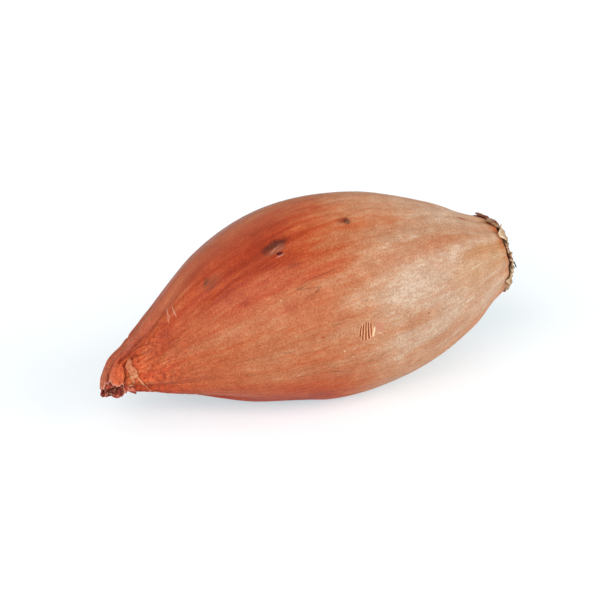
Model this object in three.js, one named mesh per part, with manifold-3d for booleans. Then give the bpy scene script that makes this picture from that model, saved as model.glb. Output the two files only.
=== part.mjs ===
// A long pink shallot lying on its side, its pinched neck towards -X and its root end towards +X.
// Millimetres, +Z up, and the surface it lies on is z = 0.

import * as THREE from 'three'
import { mergeVertices } from 'three/addons/utils/BufferGeometryUtils.js'
import Module from 'manifold-3d'

const wasm = await Module()
wasm.setup()

// Driving dimensions
const bulbLength = 88 // from the mouth of the neck to the rim of the skin at the root end
const middleFromNeck = 45 // puts the middle of the whole length at x = 0
const middleAside = 0.25 // puts the middle of the whole width at y = 0
const clearance = 0.35 // between neighbouring pieces
const skinThickness = 0.6 // of every loose piece of dry skin
const bulbSides = 72
const bulbRings = 46

// The centre line and the half sizes of the bulb. share is the way from the neck to the root end,
// aside is towards -Y, and the neck hooks down and aside over its last few millimetres.
const stations = [
  { share: 0.0, along: 0.7, aside: 3.3, height: 8.55, halfWide: 2.5, halfHigh: 2.4 },
  { share: 0.035, along: 2.3, aside: 1.2, height: 11.1, halfWide: 3.0, halfHigh: 3.0 },
  { share: 0.08, along: 6.2, aside: 0.4, height: 11.9, halfWide: 5.0, halfHigh: 4.8 },
  { share: 0.16, along: 13.6, aside: 0.0, height: 13.7, halfWide: 9.2, halfHigh: 9.2 },
  { share: 0.3, along: 26.4, aside: 0.0, height: 17.4, halfWide: 16.4, halfHigh: 16.4 },
  { share: 0.46, along: 40.5, aside: 0.0, height: 20.3, halfWide: 20.5, halfHigh: 20.5 },
  { share: 0.6, along: 52.8, aside: 0.0, height: 20.6, halfWide: 21.0, halfHigh: 21.1 },
  { share: 0.74, along: 65.1, aside: 0.0, height: 20.8, halfWide: 18.7, halfHigh: 18.8 },
  { share: 0.88, along: 77.4, aside: 0.0, height: 22.0, halfWide: 14.1, halfHigh: 14.2 },
  { share: 0.95, along: 83.6, aside: 0.0, height: 22.9, halfWide: 10.5, halfHigh: 10.5 },
  { share: 1.0, along: bulbLength, aside: 0.0, height: 23.35, halfWide: 8.2, halfHigh: 8.2 }
]

const looks = {
  skin: new THREE.MeshStandardMaterial({ color: 0xcb7049, roughness: 0.45, metalness: 0 }),
  tornSkin: new THREE.MeshStandardMaterial({ color: 0xe3a172, roughness: 0.6, metalness: 0 }),
  dryLeaf: new THREE.MeshStandardMaterial({ color: 0x6b3026, roughness: 0.8, metalness: 0 }),
  paperScale: new THREE.MeshStandardMaterial({ color: 0xb08a5e, roughness: 0.75, metalness: 0 }),
  rootPlate: new THREE.MeshStandardMaterial({ color: 0x9c8463, roughness: 0.9, metalness: 0 })
}

// Helpers

const ease = (t) => t * t * (3 - 2 * t)
const fade = (from, to, t) => ease(THREE.MathUtils.clamp((t - from) / (to - from), 0, 1))

// A smooth curve through one column of the stations.
function atShare(column, share) {
  const last = stations.length - 1
  const slope = (i) => {
    const before = stations[Math.max(i - 1, 0)]
    const after = stations[Math.min(i + 1, last)]
    return (after[column] - before[column]) / (after.share - before.share)
  }
  let i = 0
  while (i < last - 1 && share > stations[i + 1].share) i += 1
  const width = stations[i + 1].share - stations[i].share
  const t = (share - stations[i].share) / width
  const rise = ease(t)
  return stations[i][column] * (1 - rise) + stations[i + 1][column] * rise
    + width * t * (1 - t) * ((1 - t) * slope(i) - t * slope(i + 1))
}

function centre(share) {
  return new THREE.Vector3(
    atShare('along', share) - middleFromNeck,
    -middleAside - atShare('aside', share),
    atShare('height', share)
  )
}

// The directions at a share of the length: along the centre line, towards -Y, and up from the line.
// They are taken over a short stretch, so that the sections turn gently through the hook.
const turnOver = 0.03

function directions(share) {
  const ahead = centre(Math.min(share + turnOver, 1))
  const along = ahead.sub(centre(Math.max(share - turnOver, 0))).normalize()
  const aside = new THREE.Vector3().crossVectors(along, new THREE.Vector3(0, 0, 1)).normalize()
  const up = new THREE.Vector3().crossVectors(aside, along)
  return { along, aside, up }
}

// How far the skin stands out of its plain oval section, in millimetres: broad lobes where the
// fleshy leaves bulge, low lengthwise ribs, folds that deepen where the neck is pinched, and
// puckers where the skin is drawn in at the root end. Each wave goes round the bulb so many times.
const lobes = [{ times: 2, height: 0.35, turn: 0.9 }, { times: 3, height: 0.3, turn: -0.5 }]
const ribs = [{ times: 9, height: 0.16, turn: 0.4 }, { times: 13, height: 0.1, turn: 2.2 }]
const puckers = [{ times: 18, height: 0.18, turn: 0.7 }]
const foldPairs = 4
const foldTwist = 2.5 // radians over the whole length
const foldEnd = 0.36 // share of the length where the last fold dies out

const around = (waves, angle) => waves.reduce(
  (sum, wave) => sum + wave.height * Math.cos(wave.times * angle + wave.turn),
  0
)

function relief(share, angle) {
  const belly = fade(0, 0.3, share) * fade(0, 0.25, 1 - share)
  const uneven = 0.2 * Math.sin(angle + 1) + 0.12 * Math.sin(3 * angle)
  const fold = Math.abs(Math.sin(foldPairs * (angle + uneven + foldTwist * share))) - 0.6
  const foldHeight = (0.5 + 0.6 * fade(0, 0.05, share)) * fade(0, 0.3, foldEnd - share)
  return belly * around(lobes, angle)
    + (0.3 + 0.7 * belly) * around(ribs, angle)
    + foldHeight * fold
    + fade(0.1, 0, 1 - share) * around(puckers, angle)
}

// A point that stands so many millimetres out of the plain oval section. The angle is 0 on top, a
// quarter turn on the side towards -Y and half a turn underneath.
function outFromOval(share, angle, out) {
  const { aside, up } = directions(share)
  return centre(share)
    .addScaledVector(up, (atShare('halfHigh', share) + out) * Math.cos(angle))
    .addScaledVector(aside, (atShare('halfWide', share) + out) * Math.sin(angle))
}

// A point at one end of the bulb, by its distance beyond the end and its distance from the axis.
function atEnd(share, beyond, radius, angle) {
  const { along, aside, up } = directions(share)
  return centre(share)
    .addScaledVector(along, share > 0.5 ? beyond : -beyond)
    .addScaledVector(up, radius * Math.cos(angle))
    .addScaledVector(aside, radius * Math.sin(angle))
}

// Moves every vertex of a geometry and closes it into one body.
function shaped(geometry, place) {
  const position = geometry.attributes.position
  const point = new THREE.Vector3()
  for (let i = 0; i < position.count; i += 1) {
    point.copy(place(point.fromBufferAttribute(position, i)))
    position.setXYZ(i, point.x, point.y, point.z)
  }
  geometry.deleteAttribute('normal')
  geometry.deleteAttribute('uv')
  return mergeVertices(geometry, 0.001)
}

// A thin sheet of dry skin. middle(u, v) is its middle surface, with u and v from 0 to 1.
function sheet(middle, across, along) {
  const step = 0.01
  return shaped(new THREE.BoxGeometry(1, 1, 1, across, along, 1), (p) => {
    const u = p.x + 0.5
    const v = p.y + 0.5
    const side = p.z
    const overU = middle(u + step, v).sub(middle(u - step, v))
    const overV = middle(u, v + step).sub(middle(u, v - step))
    const normal = overU.cross(overV).normalize()
    return middle(u, v).addScaledVector(normal, side * skinThickness)
  })
}

function toSolid(geometry) {
  return new wasm.Manifold(new wasm.Mesh({
    numProp: 3,
    vertProperties: Float32Array.from(geometry.attributes.position.array),
    triVerts: Uint32Array.from(geometry.index.array)
  }))
}

// Joins overlapping closed geometries into one body.
function joined(geometries) {
  const solid = geometries.map(toSolid).reduce((whole, piece) => whole.add(piece))
  const mesh = solid.getMesh()
  const geometry = new THREE.BufferGeometry()
  geometry.setAttribute('position', new THREE.BufferAttribute(mesh.vertProperties, 3))
  geometry.setIndex(new THREE.BufferAttribute(mesh.triVerts, 1))
  return geometry
}

// Bulb: one body wrapped in its skin, open at the neck's mouth by a shallow hollow, with a basin
// at the root end, and pressed flat underneath where it lies.
const mouthDepth = 0.022 // share of the length
const mouthWall = 0.8 // share of the neck's radius that is open
const mouthTears = [{ times: 2, height: 0.004, turn: 1.2 }, { times: 5, height: 0.003, turn: 0.3 }]
const basinRim = 0.86 // share of the root end's radius
const basinDepth = 0.5

function bulb() {
  const profile = [
    new THREE.Vector2(0, mouthDepth),
    new THREE.Vector2(mouthWall - 0.15, mouthDepth),
    new THREE.Vector2(mouthWall, 0.004)
  ]
  for (let ring = 0; ring <= bulbRings; ring += 1) {
    const way = ring / bulbRings
    profile.push(new THREE.Vector2(1, 0.45 * way + 0.55 * way * way * (1.6 - 0.6 * way)))
  }
  const basin = 1 - basinDepth / bulbLength
  profile.push(
    new THREE.Vector2(basinRim, 1),
    new THREE.Vector2(basinRim - 0.04, basin),
    new THREE.Vector2(0, basin)
  )
  return shaped(new THREE.LatheGeometry(profile, bulbSides), (p) => {
    const angle = Math.atan2(p.x, p.z)
    const share = p.y + around(mouthTears, angle) * fade(0.02, 0, p.y)
    const outside = outFromOval(share, angle, relief(share, angle))
    const point = centre(share).lerp(outside, Math.hypot(p.x, p.z))
    point.z = Math.max(point.z, 0)
    return point
  })
}

// Neck tuft: the shrivelled ends of the inner leaves, one crumpled body that fills the mouth. Its
// edge rises in uneven tips and its middle is sunk.
const tuftRadius = 1.15
const tuftSides = 30

function neckTuft() {
  const floor = -mouthDepth * bulbLength + clearance
  const profile = [
    new THREE.Vector2(0, 0.1),
    new THREE.Vector2(0.4, 0.2),
    new THREE.Vector2(0.66, 0.9),
    new THREE.Vector2(0.95, 0.8),
    new THREE.Vector2(1, 0),
    new THREE.Vector2(0.9, -0.7),
    new THREE.Vector2(0.6, floor),
    new THREE.Vector2(0, floor)
  ]
  return shaped(new THREE.LatheGeometry(profile, tuftSides), (p) => {
    const angle = Math.atan2(p.x, p.z)
    const fromAxis = Math.hypot(p.x, p.z)
    const tips = 0.5 * Math.cos(5 * angle + 0.6) + 0.35 * Math.cos(3 * angle)
    const beyond = p.y + (p.y > 0 ? 1.1 * tips * fromAxis * p.y : 0)
    const radius = tuftRadius * fromAxis * (1 + 0.14 * Math.cos(5 * angle + 0.6))
    return atEnd(0, beyond, radius, angle)
  })
}

// Torn skin: a strip of the outermost skin left lying over the folds round the front of the neck.
const foldCrest = 0.6 // how far the folds stand out of the oval at the neck

function tornSkin() {
  const height = foldCrest + clearance + 0.5 * skinThickness
  return sheet((u, v) => {
    const width = 0.022 + 0.008 * Math.sin(7 * u)
    const share = 0.05 + 0.012 * u * u + width * v
    const angle = THREE.MathUtils.degToRad(44 + 92 * u)
    return outFromOval(share, angle, height + 0.4 * v * v)
  }, 8, 3)
}

// Root collar: a ring that carries the ragged ends of the older skins. Each scale leaves the ring,
// leans out over the rim of the bulb, rising as it goes, and curls back at its torn edge.
const collarInner = 4.9
const collarOuter = 6.2
const collarHeight = 1.3
const scales = [
  { degrees: -42, span: 42, edge: 8.9, rise: 0.5, curl: 0.3 },
  { degrees: -8, span: 40, edge: 9.3, rise: 0.6, curl: 0.5 },
  { degrees: 22, span: 30, edge: 8.9, rise: 0.7, curl: 1.2 },
  { degrees: 50, span: 34, edge: 8.3, rise: 0.6, curl: 0.3 },
  { degrees: 80, span: 26, edge: 7.8, rise: 1.1, curl: 0.1 },
  { degrees: 104, span: 28, edge: 8.4, rise: 0.9, curl: 0.4 },
  { degrees: 136, span: 46, edge: 8.9, rise: 0.7, curl: 0.7 },
  { degrees: 176, span: 38, edge: 8.6, rise: 0.8, curl: 0.2 },
  { degrees: 212, span: 42, edge: 9.0, rise: 0.6, curl: 0.5 },
  { degrees: 248, span: 38, edge: 8.2, rise: 1.2, curl: 0.1 },
  { degrees: 284, span: 44, edge: 8.8, rise: 0.7, curl: 0.4 }
]

function collarScale(scale, index) {
  const root = collarInner + 0.8 + 0.2 * (index % 2)
  const torn = (u) => 0.09 * Math.sin(11 * u + 2 * index) + 0.06 * Math.sin(23 * u + index)
  return sheet((u, v) => {
    const way = v * (1 - 0.45 * Math.abs(2 * u - 1) ** 2 + torn(u))
    const radius = root + (scale.edge - root) * way
    const beyond = 0.55 + scale.rise * Math.sin(0.5 * Math.PI * way) - scale.curl * way ** 3
    const angle = THREE.MathUtils.degToRad(scale.degrees + scale.span * (u - 0.5))
    return atEnd(1, beyond, radius, angle)
  }, 7, 4)
}

function rootCollar() {
  const floor = -basinDepth + clearance
  const ring = new THREE.LatheGeometry([
    new THREE.Vector2(collarInner, floor),
    new THREE.Vector2(collarOuter, floor),
    new THREE.Vector2(collarOuter, floor + 0.8 * collarHeight),
    new THREE.Vector2(collarInner, floor + collarHeight),
    new THREE.Vector2(collarInner, floor)
  ], 36)
  const base = shaped(ring, (p) => atEnd(1, p.y, Math.hypot(p.x, p.z), Math.atan2(p.x, p.z)))
  return joined([base, ...scales.map(collarScale)])
}

// Root plate: the corky disc that the leaves and the roots grow from, with the dry root stubs.
const plateRadius = collarInner - clearance
const plateHeight = 1.3
const rootStubs = 19
const stubRadius = 0.42
const goldenAngle = THREE.MathUtils.degToRad(137.5)

function rootStub(index) {
  const reach = 1.5 + 0.8 * Math.cos(1.9 * index)
  const fromAxis = 0.82 * plateRadius * Math.sqrt((index + 0.5) / rootStubs)
  const angle = goldenAngle * index
  const bend = 0.9 * Math.cos(2.7 * index)
  const stub = new THREE.CylinderGeometry(0.6 * stubRadius, stubRadius, 1, 5, 3)
  return shaped(stub, (p) => {
    const way = p.y + 0.5
    const beyond = plateHeight - 0.8 + (0.8 + reach) * way
    const { aside, up } = directions(1)
    return atEnd(1, beyond, fromAxis, angle)
      .addScaledVector(up, p.z + bend * way * way * Math.cos(angle + 1))
      .addScaledVector(aside, p.x + bend * way * way * Math.sin(angle + 1))
  })
}

function rootPlate() {
  const floor = -basinDepth + clearance
  const disc = new THREE.LatheGeometry([
    new THREE.Vector2(0, floor),
    new THREE.Vector2(plateRadius, floor),
    new THREE.Vector2(plateRadius, 0.4 * plateHeight),
    new THREE.Vector2(0.8 * plateRadius, 0.85 * plateHeight),
    new THREE.Vector2(0.4 * plateRadius, plateHeight),
    new THREE.Vector2(0, 0.9 * plateHeight)
  ], 24)
  const pieces = [shaped(disc, (p) => atEnd(1, p.y, Math.hypot(p.x, p.z), Math.atan2(p.x, p.z)))]
  for (let index = 0; index < rootStubs; index += 1) pieces.push(rootStub(index))
  return joined(pieces)
}

// Assembly

const shallot = new THREE.Group()

function addPiece(name, geometry, material) {
  const mesh = new THREE.Mesh(geometry, material)
  mesh.name = name
  shallot.add(mesh)
}

addPiece('bulb', bulb(), looks.skin)
addPiece('neck_tuft', neckTuft(), looks.dryLeaf)
addPiece('torn_skin', tornSkin(), looks.tornSkin)
addPiece('root_collar', rootCollar(), looks.paperScale)
addPiece('root_plate', rootPlate(), looks.rootPlate)

export default shallot
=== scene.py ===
import math

import bpy
from mathutils import Matrix, Vector, noise


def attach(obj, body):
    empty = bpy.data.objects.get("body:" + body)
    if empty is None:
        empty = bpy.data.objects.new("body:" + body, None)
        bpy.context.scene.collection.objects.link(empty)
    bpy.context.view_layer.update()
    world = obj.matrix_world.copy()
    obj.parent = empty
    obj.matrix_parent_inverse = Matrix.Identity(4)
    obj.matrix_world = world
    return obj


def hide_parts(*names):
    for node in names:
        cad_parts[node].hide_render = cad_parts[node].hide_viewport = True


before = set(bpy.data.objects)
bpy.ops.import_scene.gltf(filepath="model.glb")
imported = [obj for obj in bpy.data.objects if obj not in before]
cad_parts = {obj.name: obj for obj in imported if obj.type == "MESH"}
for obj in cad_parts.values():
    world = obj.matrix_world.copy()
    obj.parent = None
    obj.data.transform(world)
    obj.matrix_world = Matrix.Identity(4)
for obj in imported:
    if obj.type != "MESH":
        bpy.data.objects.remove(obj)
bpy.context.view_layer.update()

# A long pink shallot lying on its side. Its shapes are worked out in millimetres, in the frame of
# the solids: +X runs from the neck to the root end, +Z is up, and it lies on z = 0.

mm = 0.001


def linear(hexColour):
    # an sRGB hex colour as Blender's linear red, green, blue and alpha
    parts = [int(hexColour[i:i + 2], 16) / 255 for i in (1, 3, 5)]
    return tuple(c / 12.92 if c <= 0.04045 else ((c + 0.055) / 1.055) ** 2.4 for c in parts) + (1,)


def addNode(tree, kind, *inputs, output=0, stops=None, **settings):
    # inputs fill the sockets in their order, or by name where they come in a dictionary,
    # and stops are the places and colours of a colour ramp
    node = tree.nodes.new("ShaderNode" + kind)
    for name, value in settings.items():
        setattr(node, name, value)
    byName = inputs and isinstance(inputs[0], dict)
    for key, value in inputs[0].items() if byName else enumerate(inputs):
        if isinstance(value, bpy.types.NodeSocket):
            tree.links.new(value, node.inputs[key])
        else:
            node.inputs[key].default_value = linear(value) if isinstance(value, str) else value
    if stops:
        points = node.color_ramp.elements
        while len(points) < len(stops):
            points.new(0.5)
        for point, (place, colour) in zip(points, stops):
            point.position = place
            point.color = linear(colour)
    return node.outputs[output] if len(node.outputs) else node


def newMaterial(name):
    material = bpy.data.materials.new(name)
    material.use_nodes = True
    material.node_tree.nodes.clear()
    return material, material.node_tree


def dullSurface(tree, colour, height, look):
    # dry plant tissue with no wax left on it: a weak, widely spread gloss over a rough surface
    strength, rise = look["bump"]
    bump = addNode(tree, "Bump", {"Strength": strength, "Distance": rise * mm, "Height": height})
    shader = addNode(tree, "BsdfPrincipled", {
        "Base Color": colour,
        "Roughness": look["roughness"],
        "IOR": look["ior"],
        "Specular IOR Level": look["gloss"],
        "Normal": bump,
    })
    addNode(tree, "OutputMaterial", shader)


def fade(start, end, t):
    t = min(max((t - start) / (end - start), 0.0), 1.0)
    return t * t * (3 - 2 * t)


# Studio: a white sweep under broad, soft daylight lamps
studio = {
    "lookAt": (-2.0, -0.25, 20.4),  # mm
    "azimuth": -22.0,
    "elevation": 25.0,
    "distance": 350.0,
    "lens": 100.0,
    "clipStart": 10.0,
    "floorSize": 6000.0,
    "floorDrop": 0.05,
    "surround": 0.26,
    "sweepRoughness": 0.9,
    "sweep": "#D8C8C4",
    "sweepGlow": "#9AB6BD",
    "lamps": [
        {"name": "rightLamp", "from": (0.75, -0.54, 0.37), "strength": 1.65, "angle": 50},
        {"name": "leftLamp", "from": (-0.7, -0.5, 0.55), "strength": 1.86, "angle": 50},
        {"name": "frontLamp", "from": (-0.3, -0.9, 0.55), "strength": 1.15, "angle": 50},
        {"name": "topLamp", "from": (0.1, 0.5, 1.0), "strength": 0.32, "angle": 80},
    ],
}


def makeStudio():
    azimuth = math.radians(studio["azimuth"])
    elevation = math.radians(studio["elevation"])
    back = Vector((
        math.sin(azimuth) * math.cos(elevation),
        -math.cos(azimuth) * math.cos(elevation),
        math.sin(elevation),
    ))
    target = Vector(studio["lookAt"]) * mm
    cameraData = bpy.data.cameras.new("camera")
    cameraData.lens = studio["lens"]
    cameraData.clip_start = studio["clipStart"] * mm
    camera = bpy.data.objects.new("camera", cameraData)
    camera.location = target + back * studio["distance"] * mm
    camera.rotation_mode = "QUATERNION"
    camera.rotation_quaternion = (-back).to_track_quat("-Z", "Y")
    bpy.context.scene.collection.objects.link(camera)
    bpy.context.scene.camera = camera

    world = bpy.data.worlds.new("whiteSurround")
    world.use_nodes = True
    background = world.node_tree.nodes["Background"]
    background.inputs["Color"].default_value = linear("#FFFFFF")
    background.inputs["Strength"].default_value = studio["surround"]
    bpy.context.scene.world = world

    for lamp in studio["lamps"]:
        lampData = bpy.data.lights.new(lamp["name"], "SUN")
        lampData.energy = lamp["strength"]
        lampData.angle = math.radians(lamp["angle"])
        lampObject = bpy.data.objects.new(lamp["name"], lampData)
        lampObject.rotation_mode = "QUATERNION"
        lampObject.rotation_quaternion = (-Vector(lamp["from"])).to_track_quat("-Z", "Y")
        bpy.context.scene.collection.objects.link(lampObject)

    half = studio["floorSize"] * mm / 2
    level = -studio["floorDrop"] * mm
    floorMesh = bpy.data.meshes.new("floor")
    corners = [(x * half, y * half, level) for x, y in ((-1, -1), (1, -1), (1, 1), (-1, 1))]
    floorMesh.from_pydata(corners, [], [(0, 1, 2, 3)])
    floor = bpy.data.objects.new("floor", floorMesh)
    material, tree = newMaterial("whiteSweep")
    shader = addNode(tree, "BsdfPrincipled", {
        "Base Color": studio["sweep"],
        "Roughness": studio["sweepRoughness"],
        "Specular IOR Level": 0.0,
        "Emission Color": studio["sweepGlow"],
        "Emission Strength": 1.0,
    })
    addNode(tree, "OutputMaterial", shader)
    floorMesh.materials.append(material)
    bpy.context.scene.collection.objects.link(floor)
    bpy.context.scene.view_settings.view_transform = "Standard"


makeStudio()
print("studio made")

# Bulb form, as in the solids. along, aside and height give the centre line, aside towards -Y,
# and the last two are the half sizes across it.
bulb = {
    "length": 88.0,
    "middleFromNeck": 45.0,
    "middleAside": 0.25,
    "stations": [
        # share, along, aside, height, half wide, half high
        (0.0, 0.7, 3.3, 8.55, 2.5, 2.4),
        (0.035, 2.3, 1.2, 11.1, 3.0, 3.0),
        (0.08, 6.2, 0.4, 11.9, 5.0, 4.8),
        (0.16, 13.6, 0.0, 13.7, 9.2, 9.2),
        (0.3, 26.4, 0.0, 17.4, 16.4, 16.4),
        (0.46, 40.5, 0.0, 20.3, 20.5, 20.5),
        (0.6, 52.8, 0.0, 20.6, 21.0, 21.1),
        (0.74, 65.1, 0.0, 20.8, 18.7, 18.8),
        (0.88, 77.4, 0.0, 22.0, 14.1, 14.2),
        (0.95, 83.6, 0.0, 22.9, 10.5, 10.5),
        (1.0, 88.0, 0.0, 23.35, 8.2, 8.2),
    ],
    "turnOver": 0.03,
    "lobes": [(2, 0.35, 0.9), (3, 0.3, -0.5)],  # times round, height in mm, turn
    "ribs": [(9, 0.16, 0.4), (13, 0.1, 2.2)],
    "puckers": [(18, 0.18, 0.7)],
    "foldPairs": 4,
    "foldTwist": 2.5,
    "foldEnd": 0.36,
    "foldHeight": (0.5, 0.6),  # mm at the mouth, and how much more behind it
    "veinTwist": 0.5,
    "veinsStraight": 0.45,  # the share where the veins are as they are on the top
    "mouthDepth": 0.034,
    "mouthTears": [(2, 0.004, 1.2), (5, 0.003, 0.3)],
    "brokenSide": {"degrees": 55, "half": 100, "share": 0.014},
    "tearEnd": 0.045,
    "basinRim": 0.86,
    "basinDepth": 0.5,
    "sides": 320,
}


def atShare(column, share):
    stations = bulb["stations"]
    last = len(stations) - 1

    def slope(i):
        before, after = stations[max(i - 1, 0)], stations[min(i + 1, last)]
        return (after[column] - before[column]) / (after[0] - before[0])

    i = 0
    while i < last - 1 and share > stations[i + 1][0]:
        i += 1
    width = stations[i + 1][0] - stations[i][0]
    t = (share - stations[i][0]) / width
    rise = t * t * (3 - 2 * t)
    bend = width * t * (1 - t) * ((1 - t) * slope(i) - t * slope(i + 1))
    return stations[i][column] * (1 - rise) + stations[i + 1][column] * rise + bend


def centre(share):
    along = atShare(1, share) - bulb["middleFromNeck"]
    return Vector((along, -bulb["middleAside"] - atShare(2, share), atShare(3, share)))


def section(share):
    # centre, directions along, aside (towards -Y) and up, and the two half sizes
    ahead = centre(min(share + bulb["turnOver"], 1.0))
    along = (ahead - centre(max(share - bulb["turnOver"], 0.0))).normalized()
    aside = along.cross(Vector((0, 0, 1))).normalized()
    up = aside.cross(along)
    return centre(share), along, aside, up, atShare(4, share), atShare(5, share)


def turnFrom(degrees, angle):
    # the turn to an angle from a place given in degrees, the short way round
    return math.remainder(angle - math.radians(degrees), 2 * math.pi)


def alongVeins(share, angle):
    # the angle with the twist of the veins taken in
    return angle + bulb["veinTwist"] * (share - bulb["veinsStraight"])


def around(waves, angle):
    return sum(height * math.cos(times * angle + turn) for times, height, turn in waves)


def relief(share, angle):
    belly = fade(0, 0.3, share) * fade(0, 0.25, 1 - share)
    uneven = 0.2 * math.sin(angle + 1) + 0.12 * math.sin(3 * angle)
    twist = bulb["foldTwist"] * share
    fold = abs(math.sin(bulb["foldPairs"] * (angle + uneven + twist))) - 0.6
    atMouth, behindIt = bulb["foldHeight"]
    foldHeight = (atMouth + behindIt * fade(0, 0.05, share)) * fade(0, 0.3, bulb["foldEnd"] - share)
    return (
        belly * around(bulb["lobes"], angle)
        + (0.3 + 0.7 * belly) * around(bulb["ribs"], angle)
        + foldHeight * fold
        + fade(0.1, 0, 1 - share) * around(bulb["puckers"], angle)
    )


def outFrom(cut, angle, out):
    middle, along, aside, up, halfWide, halfHigh = cut
    high, wide = (halfHigh + out) * math.cos(angle), (halfWide + out) * math.sin(angle)
    return middle + up * high + aside * wide


def atEnd(cut, beyond, radius, angle):
    middle, along, aside, up = cut[:4]
    return middle + along * beyond + (up * math.cos(angle) + aside * math.sin(angle)) * radius


def skinFrame(share, degrees):
    # a place on the skin, with the directions along the bulb, back over it and out of it
    angle = math.radians(degrees)
    place = outFrom(section(share), angle, relief(share, angle))
    ahead = outFrom(section(share + 0.01), angle, relief(share, angle))
    beside = outFrom(section(share), angle + 0.02, relief(share, angle))
    along = (ahead - place).normalized()
    out = (beside - place).cross(along).normalized()
    if out.dot(place - centre(share)) < 0:
        out.negate()
    return place, along, out.cross(along), out


neckCut = section(0.0)
rootCut = section(1.0)

# What is pressed, dried or torn into the skin: places are share of the length and degrees round
# from the top towards the viewer's side, sizes are millimetres.
skinRelief = {
    # heights in mm, and how close together, along the bulb and around it
    "smallFolds": {"height": 0.16, "pairs": 13, "twist": 4.0, "bend": 0.3},
    "veins": {"height": 0.04, "along": 3.0, "around": 17.0},
    "wrinkles": {"height": 0.13, "along": 2.3, "around": 1.3, "up": 0.6},
    "unevenness": {"height": 0.16, "along": 5.0, "around": 3.5},
    "creases": [
        {"path": [(0.004, -14), (0.013, -11), (0.03, -1), (0.042, 2)], "width": 0.3, "depth": 0.45},
        {"path": [(0.05, 18), (0.072, 14), (0.085, 11), (0.115, 11)], "width": 0.3, "depth": 0.45},
        {"path": [(0.06, 22), (0.075, 19), (0.092, 20), (0.118, 34)], "width": 0.26, "depth": 0.3},
        {"path": [(0.058, 38), (0.075, 33), (0.092, 41)], "width": 0.24, "depth": 0.3},
        {"path": [(0.02, 84), (0.033, 80), (0.045, 58), (0.05, 40)], "width": 0.45, "depth": 0.5},
        {"path": [(0.028, -69), (0.055, -60), (0.1, -30)], "width": 0.4, "depth": 0.3},
    ],
    "flatStrip": {"fromDegrees": -5, "toDegrees": 80, "end": 0.085},
    "fills": [  # where the loose skin bags out
        {"share": 0.052, "degrees": 160, "along": 2.8, "across": 3.4, "height": 0.6},
        {"share": 0.03, "degrees": 138, "along": 2.4, "across": 2.6, "height": 1.0},
    ],
    "scar": {"share": 0.42, "degrees": 27, "along": 2.6, "across": 1.6, "depth": 0.3},
    "pore": {"share": 0.4235, "degrees": 31.5, "along": 0.6, "across": 0.42, "depth": 0.35},
    "pit": {"share": 0.566, "degrees": 22, "along": 0.8, "across": 0.6, "depth": 0.3},
    "chip": {"share": 0.5575, "degrees": 88, "along": 1.75, "across": 2.1, "depth": 0.12,
             "pitch": 0.6, "fan": 0.2, "firstLine": -0.1, "linesEnd": 1.3},
    "nick": {"share": 0.92, "degrees": 13, "along": 1.0, "across": 0.4, "depth": 0.25},
    "markReach": 4.0,
}


def creasesAt(share):
    found = []
    for crease in skinRelief["creases"]:
        path = crease["path"]
        first, last = path[0][0], path[-1][0]
        strength = fade(first - 0.012, first + 0.004, share) * fade(last + 0.03, last - 0.01, share)
        if strength > 0:
            inside = min(max(share, first), last)
            for (startShare, start), (endShare, end) in zip(path, path[1:]):
                if inside <= endShare:
                    break
            degrees = start + (end - start) * (inside - startShare) / (endShare - startShare)
            found.append((degrees, crease["width"], crease["depth"] * strength))
    return found


def pressedIn(mark, offset, along, across):
    # 1 at the middle of a mark and 0 outside it
    far = math.hypot(offset.dot(along) / mark["along"], offset.dot(across) / mark["across"])
    return fade(1.0, 0.3, far)


markFrames = {name: skinFrame(skinRelief[name]["share"], skinRelief[name]["degrees"])
              for name in ("scar", "pore", "pit", "chip", "nick")}


def ringNoise(look, share, angle):
    # noise that joins up round the bulb
    aside, up = look["around"] * math.sin(angle), look["around"] * math.cos(angle)
    return noise.noise(Vector((share * look["along"], aside, up)))


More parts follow.
